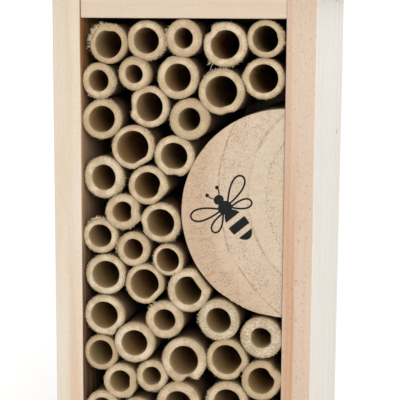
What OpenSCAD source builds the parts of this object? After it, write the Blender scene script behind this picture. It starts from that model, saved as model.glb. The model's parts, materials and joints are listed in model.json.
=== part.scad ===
// Insect hotel: a narrow pine case under a gable roof, filled with bored nest
// tubes that lie round a half-round log, with a hinged ring at the back to hang
// it by. X runs left to right, the open front faces -Y, and Z is up from the
// middle of the case's underside.

/* [Case] */
// Clear width between the side boards
inner_w = 70; // [60:1:120]
// Clear height between the base board and the top board
inner_h = 156; // [140:1:260]
// Depth of the side boards, front edge to back edge
depth = 80; // [60:1:140]
// Thickness of the side boards
side_t = 10; // [8:0.5:15]
// Thickness of the top board
top_t = 10; // [8:0.5:15]
// Thickness of the base board
base_t = 10; // [8:0.5:15]

/* [Back] */
// Thickness of the back panel
back_t = 5; // [4:0.5:8]
// How far the back panel is let in from the back edges, which is room for the hanger
back_inset = 5; // [4.5:0.5:10]

/* [Roof] */
// Height of the side boards' outer faces above the top board
side_rise = 12; // [4:1:40]
// Thickness of the roof boards
roof_t = 10; // [8:0.5:15]
// How far the roof runs on past the sides, down its slope
eave = 15; // [0:1:40]
// How far the roof runs out past the front
porch = 15; // [0:1:40]
// Thickness of the gable board
gable_t = 10; // [6:0.5:15]

/* [Half-round log] */
// Diameter of the log
log_d = 70.5; // [40:0.5:90]
// Height of the log's middle above the base board
log_up = 91.5; // [60:0.5:180]
// Set-back of the log's face from the front
log_back = 1; // [0:0.5:5]

/* [Nest tubes] */
// Least gap between a tube and anything beside it
tube_gap = 0.1; // [0.05:0.05:0.5]
// Least set-back of the tubes' mouths from the front
mouth_back = 0.3; // [0:0.1:5]
// How much further back each of four tubes in turn sits
mouth_step = 0.3; // [0:0.1:2]
// Gap between the tubes' tails and the back panel
tail_gap = 0.3; // [0.1:0.1:5]
// Outer diameter of the spare tubes that fill room left over
spare_outer = 12; // [10:0.5:16]
// Bore of the spare tubes
spare_bore = 7.5; // [4:0.5:8]

/* [Hanger] */
// Wire diameter of the hanging ring
wire_d = 2; // [1.5:0.1:2.5]
// Width of the ring, middle of one leg to middle of the other
ring_w = 18; // [16:1:30]
// Length of the ring's straight legs
ring_leg = 4; // [3:0.5:12]
// Width of the strap that holds the ring
strap_w = 9; // [8:0.5:10]
// Thickness of the strap
strap_t = 1; // [0.8:0.1:1.5]
// Distance from the ring's pivot down to the screw
pivot_up = 5.5; // [5.5:0.5:8]
// Radial gap between the ring and the strap's rolled barrel
ring_gap = 0.08; // [0.05:0.01:0.1]
// Shank diameter of the hanger screw
screw_d = 3; // [2.5:0.1:4]
// Length of the hanger screw under its head
screw_l = 14; // [12:1:30]
// Diameter of the screw's head
screw_head_d = 6; // [5:0.5:6]
// Height of the screw's head
screw_head_t = 1.6; // [1:0.1:2]

/* [Nails] */
// Shank diameter of the nails
nail_d = 1.2; // [1:0.1:2]
// Length of the nails
nail_l = 25; // [20:1:30]
// Diameter of the nails' heads
nail_head_d = 2; // [1.8:0.1:4]
// Thickness of the nails' heads, which are driven flush
nail_head_t = 0.6; // [0.4:0.1:1]
// Gap round a nail or a screw in its hole
pilot_gap = 0.04; // [0.02:0.01:0.1]
// How far the case's nails stand in from the front and from the back panel
nail_in = 15; // [8:1:25]
// How far the nails into the top board lie below its upper face
nail_low = 3; // [2:0.5:5]
// First nail in a roof board, from the ridge down the slope
roof_nail = 20; // [18:1:25]

/* [Hidden] */
$fn = 96;

past = 1;                               // how far a cut runs on past what it cuts

case_w = inner_w + 2 * side_t;
front_y = -depth / 2;
back_y = depth / 2;
recess_y = back_y - back_inset;         // outer face of the back panel
panel_y = recess_y - back_t;            // inner face of the back panel
top_z = base_t + inner_h;               // underside of the top board
loft_z = top_z + top_t;                 // upper face of the top board
eave_z = loft_z + side_rise;            // top of a side board at its outer face
ridge_z = eave_z + case_w / 2;          // underside of the roof at the ridge
slope_l = case_w / 2 * sqrt(2);         // underside of the roof, ridge to outer face

pine = [0.9, 0.83, 0.73];
rosy_pine = [0.89, 0.77, 0.66];
plywood = [0.84, 0.74, 0.6];
cane = [0.86, 0.78, 0.62];
log_wood = [0.87, 0.78, 0.68];
steel = [0.72, 0.73, 0.75];

// The nest tubes as they are laid, from the base board up: middle of the tube
// from the left side board and above the base board, outer diameter, bore.
tubes = [
    [7, 7, 13.5, 8.5],        [19.5, 6, 11.5, 7],       [32.5, 7.5, 14.5, 9.5],
    [48.5, 8, 16, 10],        [63.5, 6.5, 12, 7.5],     [6.5, 20, 12, 7.5],
    [19, 18, 12.5, 8],        [63, 19, 13, 8.5],        [34, 23.5, 15.5, 9.5],
    [51.5, 25.5, 14, 9],      [13, 30.5, 12, 7.5],      [25, 33, 11, 6.5],
    [63, 34.5, 13.5, 9],      [36, 39, 15.5, 10],       [6, 40, 12, 8.5],
    [51, 40, 14, 10],         [18.5, 45, 14, 9],        [63, 49, 14, 7],
    [7.5, 53.5, 14, 9.5],     [29, 53.5, 13, 7.5],      [48, 54.5, 14, 8.5],
    [37.5, 64, 14.5, 9.5],    [22, 65.5, 13.5, 10],     [8, 68, 14, 9.5],
    [30.5, 74, 10.5, 8],      [18, 77.5, 11.5, 7],      [6, 82, 12, 8],
    [27.5, 87, 13.5, 9.5],    [14, 90, 12, 7],          [23, 100, 13, 9],
    [7.5, 102, 14, 8.5],      [32.5, 110, 13.5, 9],     [18, 112.5, 14.5, 11],
    [7, 122, 13.5, 9],        [37.5, 122.5, 13.5, 7.5], [23.5, 126.5, 13.5, 9.5],
    [48.5, 132, 15, 10.5],    [6, 135, 11.5, 7],        [33.5, 136.5, 14, 9],
    [62.5, 136.5, 13.5, 9.5], [18.5, 137.5, 10.5, 6],   [9.5, 147.5, 13, 9.5],
    [49.5, 147.5, 14.5, 9.5], [22.5, 148.5, 13, 8.5],   [35.5, 149.5, 12, 6.5],
    [63, 149.5, 12, 8.5],
];
settle_rounds = 60;
beside = 4;                             // tubes this close may come to touch
spare_step = 2;                         // spacing of the places a spare tube is tried at
log_middle = [inner_w, log_up];

close_by = [
    for (t = tubes) [
        for (j = [0:len(tubes) - 1])
            let (apart = norm([t.x - tubes[j].x, t.y - tubes[j].y]))
            if (apart > 0 && apart < (t[2] + tubes[j][2]) / 2 + beside) j
    ]
];

function total(steps) = len(steps) == 0 ? [0, 0] : [for (s = steps) 1] * steps;

function inside(spot, reach) = [
    min(max(spot.x, reach), inner_w - reach),
    min(max(spot.y, reach), inner_h - reach)
];

// Tube i gives way to each neighbour by half of what they overlap, and to the
// log and the boards by all of it.
function give_way(spots, i) =
    let (
        spot = spots[i],
        reach = tubes[i][2] / 2 + tube_gap,
        shoves = [
            for (j = close_by[i])
                let (away = spot - spots[j], over = reach + tubes[j][2] / 2 - norm(away))
                if (over > 0) away / norm(away) * over / 2
        ],
        off_log = spot - log_middle,
        log_over = max(0, reach + log_d / 2 - norm(off_log))
    )
    inside(spot + total(shoves) + off_log / norm(off_log) * log_over, reach);

function settled(spots, rounds) =
    rounds == 0 ? spots
    : settled([for (i = [0:len(spots) - 1]) give_way(spots, i)], rounds - 1);

// True if a tube clears the boards, the log and every tube laid before it.
function clears(tube, laid) =
    let (spot = [tube.x, tube.y], room = tube[2] / 2 + tube_gap / 2)
    norm(spot - inside(spot, room)) == 0
    && norm(spot - log_middle) > room + log_d / 2
    && len([for (t = laid) if (norm(spot - [t.x, t.y]) < room + t[2] / 2) t]) == 0;

function lay(list, n, laid) =
    n == len(list) ? laid
    : lay(list, n + 1, clears(list[n], laid) ? concat(laid, [list[n]]) : laid);

// Room left over in a wider or taller case is filled with spare tubes, row by
// row from the base board up, and a smaller case holds fewer tubes.
function spare(x, up) = [x, up, spare_outer, spare_bore];

function spare_row(laid, up, x) =
    x > inner_w ? laid
    : spare_row(clears(spare(x, up), laid) ? concat(laid, [spare(x, up)]) : laid, up, x + spare_step);

function topped_up(laid, up) =
    up > inner_h ? laid
    : topped_up(spare_row(laid, up, spare_outer / 2 + tube_gap), up + spare_step);

places = settled([for (t = tubes) [t.x, t.y]], settle_rounds);
seated = [for (i = [0:len(tubes) - 1]) [places[i].x, places[i].y, tubes[i][2], tubes[i][3]]];
nest = topped_up(lay(seated, 0, []), spare_outer / 2 + tube_gap);

// Each tube is a node of its own, and spare tubes share the last of them.
tube_nodes = min(len(nest), len(tubes));
function tube_name(i) = str("tube_", i < 9 ? "0" : "", i + 1);

// Each nail's place is the middle of its head and the turn that faces it outward.
side_nails = [
    for (side = [-1, 1], z = [base_t / 2, loft_z - nail_low], y = [front_y + nail_in, panel_y - nail_in])
        [[side * case_w / 2, y, z], [0, side * 90, 0]]
];
log_nail_up = 22.5;                     // above the log's middle
log_nail_in = 5;                        // in from the back panel
log_nail = [[case_w / 2, panel_y - log_nail_in, base_t + log_up + log_nail_up], [0, 90, 0]];
nail_room = 5;                          // from the points of the side boards' nails
panel_nail_in = nail_l - side_t + nail_room;
panel_nails = [
    for (side = [-1, 1], z = [base_t / 2, top_z + top_t / 2])
        [[side * (inner_w / 2 - panel_nail_in), recess_y, z], [-90, 0, 0]]
];
gable_y = front_y + gable_t / 2;
panel_middle_y = panel_y + back_t / 2;
slope_nails = [
    for (side = [-1, 1], y = [gable_y, panel_middle_y], down = [roof_nail, 2 * roof_nail])
        [[side * (down + roof_t), 0, roof_t - down] / sqrt(2) + [0, y, ridge_z], [0, side * 45, 0]]
];
ridge_nails = [
    for (y = [front_y, 0, panel_y])
        [[-roof_t / 2 / sqrt(2), y, ridge_z + (roof_t + roof_t / 2) / sqrt(2)], [0, -45, 0]]
];

screw_z = top_z + top_t / 2;
pivot_z = screw_z + pivot_up;
barrel_r = wire_d / 2 + ring_gap + strap_t;
pivot_y = recess_y + barrel_r;
screw_slot_w = 0.9;
screw_slot_depth = 0.8;

module upright(outline, y, thick) {
    translate([0, y + thick, 0])
        rotate([90, 0, 0])
            linear_extrude(thick)
                polygon(outline);
}

module at(spots) {
    for (s = spots)
        translate(s[0])
            rotate(s[1])
                children();
}

// A nail lies down -Z with its head's face at 0.
module nail() {
    translate([0, 0, -nail_head_t])
        cylinder(h = nail_head_t, d = nail_head_d);
    translate([0, 0, -nail_l + 2 * nail_d])
        cylinder(h = nail_l - 2 * nail_d - nail_head_t, d = nail_d);
    translate([0, 0, -nail_l])
        cylinder(h = 2 * nail_d, d1 = nail_d / 4, d2 = nail_d);
}

module nail_hole() {
    translate([0, 0, -nail_head_t - pilot_gap])
        cylinder(h = 2 * nail_head_t, d = nail_head_d + 2 * pilot_gap);
    translate([0, 0, -nail_l - pilot_gap])
        cylinder(h = nail_l, d = nail_d + 2 * pilot_gap);
}

module side_board(side, spots) {
    inner = side * inner_w / 2;
    outer = side * case_w / 2;
    difference() {
        upright([[inner, 0], [outer, 0], [outer, eave_z], [inner, eave_z + side_t]], front_y, depth);
        at(spots) nail_hole();
    }
}

module left_side() {
    color(pine) side_board(-1, side_nails);
}

module right_side() {
    color(rosy_pine) side_board(1, concat(side_nails, [log_nail]));
}

module shelf(z, thick) {
    translate([-inner_w / 2, front_y, z])
        cube([inner_w, panel_y - front_y, thick]);
}

module top_board() {
    color(pine)
        difference() {
            shelf(top_z, top_t);
            at(concat(side_nails, panel_nails)) nail_hole();
            screw_hole();
        }
}

module base_board() {
    color(pine)
        difference() {
            shelf(0, base_t);
            at(concat(side_nails, panel_nails)) nail_hole();
        }
}

// The outline between the side boards, from z up to the two roof slopes.
function house(z) = [
    [-inner_w / 2, z],
    [inner_w / 2, z],
    [inner_w / 2, ridge_z - inner_w / 2],
    [0, ridge_z],
    [-inner_w / 2, ridge_z - inner_w / 2]
];

module back_panel() {
    color(plywood)
        difference() {
            upright(house(0), panel_y, back_t);
            at(concat(panel_nails, slope_nails)) nail_hole();
            screw_hole();
        }
}

module gable_board() {
    color(pine)
        difference() {
            upright(house(loft_z), front_y, gable_t);
            at(slope_nails) nail_hole();
        }
}

// A roof board lies down the slope from the ridge, and the left one runs on
// over the end of the right one.
module roof_board(side, lap) {
    difference() {
        translate([0, front_y - porch, ridge_z])
            rotate([0, 45 * side, 0])
                translate([side > 0 ? -lap : -slope_l - eave, 0, 0])
                    cube([slope_l + eave + lap, depth + porch, roof_t]);
        at(concat(slope_nails, ridge_nails)) nail_hole();
    }
}

module roof_left() {
    color(pine) roof_board(-1, roof_t);
}

module roof_right() {
    color(pine) roof_board(1, 0);
}

module half_log() {
    log_l = panel_y - front_y - log_back;
    color(log_wood)
        difference() {
            intersection() {
                translate([inner_w / 2, panel_y, base_t + log_up])
                    rotate([90, 0, 0])
                        cylinder(h = log_l, d = log_d);
                translate([inner_w / 2 - log_d, front_y, base_t + log_up - log_d])
                    cube([log_d, depth, 2 * log_d]);
            }
            at([log_nail]) nail_hole();
        }
}

module nest_tube(i) {
    t = nest[i];
    mouth = front_y + mouth_back + mouth_step * (i % 4);
    long = panel_y - tail_gap - mouth;
    color(cane)
        translate([t.x - inner_w / 2, mouth, base_t + t.y])
            rotate([-90, 0, 0])
                difference() {
                    cylinder(h = long, d = t[2]);
                    translate([0, 0, -past])
                        cylinder(h = long + 2 * past, d = t[3]);
                }
}

module case_nails() {
    color(steel) at(concat(side_nails, [log_nail], panel_nails)) nail();
}

module roof_nails() {
    color(steel) at(concat(slope_nails, ridge_nails)) nail();
}

module across(x, d, l) {
    translate([x, pivot_y, pivot_z])
        rotate([0, 90, 0])
            cylinder(h = l, d = d, center = true);
}

module screw_hole() {
    translate([0, recess_y + 2 * strap_t, screw_z])
        rotate([90, 0, 0])
            cylinder(h = screw_l + 2 * strap_t, d = screw_d + 2 * pilot_gap);
}

// The strap is a flat tongue that is rolled into a barrel round the ring.
module hanger_strap() {
    color(steel)
        difference() {
            union() {
                across(0, 2 * barrel_r, strap_w);
                translate([-strap_w / 2, recess_y, screw_z])
                    cube([strap_w, strap_t, pivot_up]);
                translate([0, recess_y + strap_t, screw_z])
                    rotate([90, 0, 0])
                        cylinder(h = strap_t, d = strap_w);
            }
            across(0, wire_d + 2 * ring_gap, strap_w + 2 * past);
            screw_hole();
        }
}

module hanger_ring() {
    bend_r = ring_w / 2;
    color(steel) {
        across(0, wire_d, ring_w);
        for (side = [-1, 1])
            translate([side * bend_r, pivot_y, pivot_z]) {
                sphere(d = wire_d);
                translate([0, 0, -ring_leg])
                    cylinder(h = ring_leg, d = wire_d);
            }
        translate([0, pivot_y, pivot_z - ring_leg])
            rotate([90, 180, 0])
                rotate_extrude(angle = 180)
                    translate([bend_r, 0])
                        circle(d = wire_d);
    }
}

module hanger_screw() {
    color(steel)
        translate([0, recess_y + strap_t, screw_z])
            rotate([-90, 0, 0])
                difference() {
                    union() {
                        cylinder(h = screw_head_t, d1 = screw_head_d, d2 = screw_head_d - screw_head_t);
                        translate([0, 0, -screw_l])
                            cylinder(h = screw_l, d = screw_d);
                    }
                    for (turn = [0, 90])
                        rotate(turn)
                            translate([-screw_head_d / 4, -screw_slot_w / 2, screw_head_t - screw_slot_depth])
                                cube([screw_head_d / 2, screw_slot_w, screw_slot_depth + past]);
                }
}

left_side();
right_side();
top_board();
base_board();
back_panel();
gable_board();
roof_left();
roof_right();
half_log();
case_nails();
roof_nails();
hanger_strap();
hanger_ring();
hanger_screw();
for (i = [0:len(nest) - 1])
    nest_tube(i);
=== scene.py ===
import json
import math

import bpy
import numpy as np
from mathutils import Matrix, Vector


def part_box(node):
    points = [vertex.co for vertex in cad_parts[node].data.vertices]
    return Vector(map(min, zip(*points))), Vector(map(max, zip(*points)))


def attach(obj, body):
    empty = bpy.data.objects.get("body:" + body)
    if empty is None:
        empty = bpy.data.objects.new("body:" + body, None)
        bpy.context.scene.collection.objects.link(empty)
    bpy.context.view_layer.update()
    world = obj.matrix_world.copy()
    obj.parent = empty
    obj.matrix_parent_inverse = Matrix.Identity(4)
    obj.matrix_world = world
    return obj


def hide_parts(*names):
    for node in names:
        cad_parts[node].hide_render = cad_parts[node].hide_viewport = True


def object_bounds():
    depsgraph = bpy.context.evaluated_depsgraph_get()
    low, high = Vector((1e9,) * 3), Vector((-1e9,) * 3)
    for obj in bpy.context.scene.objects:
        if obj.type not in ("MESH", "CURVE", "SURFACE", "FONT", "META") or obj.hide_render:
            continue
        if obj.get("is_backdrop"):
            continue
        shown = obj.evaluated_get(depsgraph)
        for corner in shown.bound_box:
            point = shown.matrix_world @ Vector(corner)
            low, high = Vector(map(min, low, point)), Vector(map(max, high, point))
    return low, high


# An insect hotel: a pine case under a gable roof, canes laid round a half log,
# and a hanging ring at the back. Lengths are metres, and MM turns millimetres
# into them. Cane features are placed by the hour on a clock seen from the front.

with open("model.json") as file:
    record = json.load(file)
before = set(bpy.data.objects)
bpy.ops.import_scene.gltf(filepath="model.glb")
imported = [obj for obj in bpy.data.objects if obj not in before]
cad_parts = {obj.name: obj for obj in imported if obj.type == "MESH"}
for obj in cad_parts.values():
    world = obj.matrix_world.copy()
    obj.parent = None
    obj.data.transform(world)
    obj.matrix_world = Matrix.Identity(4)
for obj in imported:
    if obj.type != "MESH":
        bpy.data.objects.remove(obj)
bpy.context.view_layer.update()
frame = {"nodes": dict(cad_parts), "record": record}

MM = 0.001
SEED = 11
LIGHT = 1.35                 # how much brighter than its own colour a lit face shows


def linear(red, green, blue):
    """The surface colour that the studio light shows as this 8-bit display colour:
    the display curve undone, over LIGHT."""
    share = np.array([red, green, blue]) / 255
    value = np.where(share <= 0.04045, share / 12.92, ((share + 0.055) / 1.055) ** 2.4)
    return (*(value / LIGHT), 1.0)


# ---------------- finishes

class Finish:
    """A material being laid out node by node around one principled shader."""

    def __init__(self, name, roughness=0.6, **sockets):
        self.material = bpy.data.materials.new(name)
        self.material.use_nodes = True
        self.tree = self.material.node_tree
        self.shader = self.tree.nodes["Principled BSDF"]
        self.shader.inputs["Roughness"].default_value = roughness
        for socket, value in sockets.items():
            self.shader.inputs[socket].default_value = value

    def put(self, value, socket):
        """A number is set on the socket, and another node's output is linked to it."""
        if isinstance(value, bpy.types.NodeSocket):
            self.tree.links.new(value, socket)
        else:
            socket.default_value = value

    def node(self, kind, inputs, output=0, **settings):
        """A new node with its settings and inputs set. Gives back one of its outputs."""
        made = self.tree.nodes.new(kind)
        for name, value in settings.items():
            setattr(made, name, value)
        for name, value in inputs.items():
            self.put(value, made.inputs[name])
        return made.outputs[output]

    def calc(self, operation, a, b=0.0, c=0.0):
        return self.node("ShaderNodeMath", {0: a, 1: b, 2: c}, operation=operation)

    def times(self, a, b):
        return self.calc("MULTIPLY", a, b)

    def reach(self, a, b):
        """The distance from an axis, from the two ways across it."""
        return self.calc("SQRT", self.calc("ADD", self.times(a, a), self.times(b, b)))

    def place(self, move=(0, 0, 0), turn=(0, 0, 0)):
        """Object coordinates in millimetres, turned and then moved."""
        spot = self.node("ShaderNodeTexCoord", {}, "Object")
        return self.moved(spot, move, turn, [1 / MM] * 3)

    def moved(self, spot, move=(0, 0, 0), turn=(0, 0, 0), scale=(1, 1, 1)):
        """A spot scaled, turned and then moved."""
        return self.node("ShaderNodeMapping",
                         {"Vector": spot, "Location": move, "Rotation": turn, "Scale": scale})

    def mark(self, name, output="Fac"):
        """One of the marks that are stored on a piece's points."""
        return self.node("ShaderNodeAttribute", {}, output, attribute_name=name)

    def parts(self, vector):
        """The X, Y and Z of a vector."""
        made = self.tree.nodes.new("ShaderNodeSeparateXYZ")
        self.tree.links.new(vector, made.inputs[0])
        return tuple(made.outputs)

    def noise(self, spot, scale, detail=2.0, roughness=0.5):
        return self.node("ShaderNodeTexNoise", {"Vector": spot, "Scale": scale, "Detail": detail,
                                                "Roughness": roughness})

    def dots(self, spot, scale, size, soft=0.12):
        """1 in the middle of small scattered dots, 0 between them."""
        apart = self.node("ShaderNodeTexVoronoi", {"Vector": spot, "Scale": scale}, "Distance")
        return self.ease(apart, size + soft, size - soft)

    def ease(self, value, start, end, low=0.0, high=1.0):
        """Runs smoothly from low at start to high at end, and stays there."""
        return self.node("ShaderNodeMapRange",
                         {"Value": value, "From Min": start, "From Max": end,
                          "To Min": low, "To Max": high},
                         interpolation_type="SMOOTHSTEP")

    def ramp(self, value, stops):
        """Blends through (place, colour) stops. Three numbers are a display colour."""
        made = self.tree.nodes.new("ShaderNodeValToRGB")
        band = made.color_ramp
        while len(band.elements) < len(stops):
            band.elements.new(1.0)
        for element, (place, colour) in zip(band.elements, stops):
            element.position = place
            element.color = linear(*colour) if len(colour) == 3 else colour
        self.put(value, made.inputs[0])
        return made.outputs["Color"]

    def blend(self, share, a, b):
        made = self.tree.nodes.new("ShaderNodeMix")
        made.data_type = "RGBA"
        for value, socket in ((share, made.inputs[0]), (a, made.inputs[6]), (b, made.inputs[7])):
            self.put(value, socket)
        return made.outputs[2]

    def tinted(self, base, value, start, end, show, colour):
        """Base with colour over it, by as much as show where value has reached end."""
        return self.blend(self.ease(value, start, end, 0.0, show), base, colour)

    def bump(self, height, distance, strength, under=None):
        """A normal that leans by the slope of height, over the one under it."""
        inputs = {"Height": height, "Distance": distance, "Strength": strength}
        if under is not None:
            inputs["Normal"] = under
        return self.node("ShaderNodeBump", inputs)

    def done(self, colour, normal=None, roughness=None):
        """The finished material, with these on its shader."""
        self.put(colour, self.shader.inputs["Base Color"])
        if normal is not None:
            self.put(normal, self.shader.inputs["Normal"])
        if roughness is not None:
            self.put(roughness, self.shader.inputs["Roughness"])
        return self.material


def sawn_wood(name, pale, late, heart, spacing, turn=(0, 0, 0), ring_show=0.35, pit_show=0.4,
              zones=(), streaks=()):
    """Planed pine. The grain runs along the turned Z axis, and the year rings lie
    round a heart line at heart, in millimetres after the turn: a ring's number is
    the distance from that line plus a slow wander, over the spacing, and it darkens
    to a late-wood edge. Each zone (from, to, colour, show) tints the wood as X goes
    from one to the other. Each streak (middle, half-width, none, full, colour, show)
    tints it beside an upright line that wanders. It grows from nothing at one height
    to full at the other."""
    wood = Finish(name, 0.62)
    spot = wood.place(move=[-h for h in heart], turn=turn)
    slow = wood.noise(wood.moved(spot, scale=(0.05, 0.05, 0.006)), 1.0, 3.0)
    across_x, across_y, _ = wood.parts(spot)
    wandered = wood.calc("MULTIPLY_ADD", slow, 9.0, wood.reach(across_x, across_y))
    year = wood.calc("FRACT", wood.calc("DIVIDE", wandered, spacing))
    late_edge = wood.times(wood.ease(year, 0.45, 0.9), wood.ease(year, 1.0, 0.93))
    patchy = wood.noise(wood.moved(spot, scale=(0.12, 0.12, 0.02)), 1.0, 2.0)
    rings = wood.times(late_edge, wood.ease(patchy, 0.25, 0.75, 0.35 * ring_show, ring_show))
    fibres = wood.noise(wood.moved(spot, scale=(3.2, 3.2, 0.09)), 1.0, 4.0, 0.65)
    mottle = wood.noise(wood.moved(spot, scale=(1.3, 1.3, 0.8)), 1.0, 3.0, 0.7)
    flecks = wood.noise(wood.moved(spot, scale=(2.6, 2.6, 1.1)), 1.0, 1.0)
    pits = wood.ease(flecks, 0.66, 0.76)
    clouds = wood.noise(wood.moved(spot, scale=(0.07, 0.07, 0.012), move=(7, 3, 1)), 1.0, 2.0)
    dusky = [c * s for c, s in zip(pale, (0.96, 0.92, 0.86, 1))]
    base = wood.blend(wood.ease(clouds, 0.3, 0.7), pale, dusky)
    width, _, height = wood.parts(wood.place())
    for start, end, colour, show in zones:
        base = wood.tinted(base, width, start, end, show, colour)
    sway = wood.noise(wood.moved(wood.place(), scale=(0, 0, 0.022)), 1.0, 2.0)
    for middle, half, none, full, colour, show in streaks:
        swayed = wood.calc("MULTIPLY_ADD", sway, half, width)
        near = wood.calc("ABSOLUTE", wood.calc("ADD", swayed, -middle - half / 2))
        grown = wood.ease(height, none, full, 0.0, show)
        beside = wood.times(wood.ease(near, half, 0.3 * half), grown)
        base = wood.blend(beside, base, colour)
    coloured = wood.blend(rings, base, late)
    dark = [c * 0.7 for c in late[:3]] + [1]
    combed = wood.tinted(coloured, fibres, 0.35, 0.75, 0.14, dark)
    combed = wood.tinted(combed, mottle, 0.4, 0.75, 0.16, dark)
    bands = wood.noise(wood.moved(spot, scale=(0.5, 0.5, 0.005)), 1.0, 3.0, 0.6)
    combed = wood.tinted(combed, bands, 0.35, 0.7, 0.12, dark)
    pitted = wood.blend(wood.times(pits, pit_show), combed, linear(146, 108, 80))
    relief = wood.calc("MULTIPLY_ADD", late_edge, 0.35, fibres)
    planed = wood.bump(relief, 0.05 * MM, 0.55)
    sunk = wood.bump(pits, 0.04 * MM, -0.6, planed)
    return wood.done(pitted, sunk, wood.ease(fibres, 0.3, 0.8, 0.55, 0.72))


def cane_finish():
    """Cut cane, read from its own marks: wall is 0 at the bore and 1 at the skin,
    deep is millimetres behind the mouth, tone holds tint, speckle and warmth, and
    end_grain runs along the strands."""
    cane = Finish("cut_cane", 0.6)
    wall = cane.mark("wall")
    deep = cane.mark("deep")
    tint, speckle, warmth = cane.parts(cane.mark("tone", "Vector"))
    end = cane.mark("end_grain", "Vector")
    spot = cane.place()
    cream = cane.ramp(tint, ((0.0, (230, 210, 180)), (0.5, (219, 195, 158)),
                             (1.0, (196, 167, 126))))
    cloud = cane.noise(spot, 0.32, 2.0)
    cream = cane.tinted(cream, cloud, 0.35, 0.65, 0.7, linear(184, 156, 118))
    fine = cane.noise(spot, 2.0, 3.0, 0.75)
    cream = cane.tinted(cream, fine, 0.45, 0.66, 0.36, linear(146, 120, 84))
    strands = cane.noise(end, 1.0, 2.0, 0.6)
    coarse = cane.times(cane.ease(speckle, 0.35, 1.0), cane.ease(wall, 0.1, 0.5, 0.5, 1.0))
    stringy = cane.times(cane.ease(strands, 0.48, 0.66, 0.0, 0.3), coarse)
    cream = cane.blend(stringy, cream, linear(150, 124, 88))
    grains = cane.noise(spot, 2.9, 2.0, 0.8)
    dark_grains = cane.times(cane.ease(grains, 0.5, 0.6, 0.0, 0.72), coarse)
    cream = cane.blend(dark_grains, cream, linear(124, 106, 72))
    pale_grains = cane.times(cane.ease(grains, 0.48, 0.38, 0.0, 0.85), coarse)
    cream = cane.blend(pale_grains, cream, linear(240, 228, 204))
    pores = cane.dots(spot, 1.9, 0.22)
    toward_skin = cane.ease(wall, 0.2, 0.8, 0.2, 1.0)
    pores = cane.times(cane.times(pores, toward_skin), cane.calc("MULTIPLY_ADD", speckle, 0.4, 0.16))
    cream = cane.blend(pores, cream, linear(112, 88, 58))
    # A smoother, lighter band at the inner lip: painted highlight.
    cream = cane.tinted(cream, wall, 0.16, 0.02, 0.4, linear(214, 194, 160))
    # The outer edge of the cut darkens: partly mottled fibre, partly painted shade on the rounded shoulder.
    edge = cane.times(cane.ease(wall, 0.7, 1.0), cane.ease(fine, 0.35, 0.62, 0.2, 0.9))
    cream = cane.blend(edge, cream, linear(160, 138, 102))
    way_in = cane.calc("DIVIDE", deep, 40.0)
    # The skin darkens to near black a few millimetres behind the mouth: painted shade, as in the narrow gaps
    # between canes.
    skin = cane.ramp(way_in, (
        (0.0, (204, 180, 142)), (0.03, (184, 156, 116)), (0.1, (112, 86, 58)),
        (0.4, (56, 40, 27)), (1.0, (38, 28, 20))))
    streaks = cane.noise(end, 1.6, 3.0)
    skin = cane.tinted(skin, streaks, 0.35, 0.7, 0.35, linear(100, 76, 50))
    # The bore's olive and brown are its own colour. Their darkening just behind the mouth is painted shade.
    olive = cane.ramp(way_in, (
        (0.0, (206, 184, 146)), (0.02, (190, 168, 126)), (0.14, (172, 146, 98)),
        (0.45, (168, 138, 90)), (1.0, (206, 176, 124))))
    brown = cane.ramp(way_in, (
        (0.0, (206, 180, 142)), (0.02, (188, 156, 112)), (0.14, (172, 132, 84)),
        (0.45, (168, 122, 72)), (1.0, (210, 160, 104))))
    bore = cane.blend(warmth, olive, brown)
    bore = cane.tinted(bore, streaks, 0.4, 0.75, 0.35, linear(150, 116, 76))
    colour = cane.blend(cane.ease(wall, 1.02, 1.12), cream, skin)
    colour = cane.blend(cane.ease(wall, -0.02, -0.12), colour, bore)
    sawn = cane.bump(cane.calc("ADD", fine, cane.times(pores, -0.8)), 0.09 * MM, 0.7)
    combed = cane.bump(strands, 0.05 * MM, 0.35, sawn)
    return cane.done(colour, combed, cane.ease(fine, 0.3, 0.7, 0.5, 0.7))


def fibre_finish():
    """Loose cane fibre: pale straw that varies from strand to strand."""
    fibre = Finish("cane_fibre", 0.5)
    cloud = fibre.noise(fibre.place(), 0.8, 1.0)
    return fibre.done(fibre.ramp(cloud, ((0.3, (232, 210, 168)), (0.5, (244, 228, 194)),
                                         (0.7, (214, 176, 120)))))


LOG_HEART = (62.5, 107.5)     # X and Z that the log's year rings lie round, in millimetres
WIDEST_RING = 70.0            # the distance from there at which the log's colours end


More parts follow.
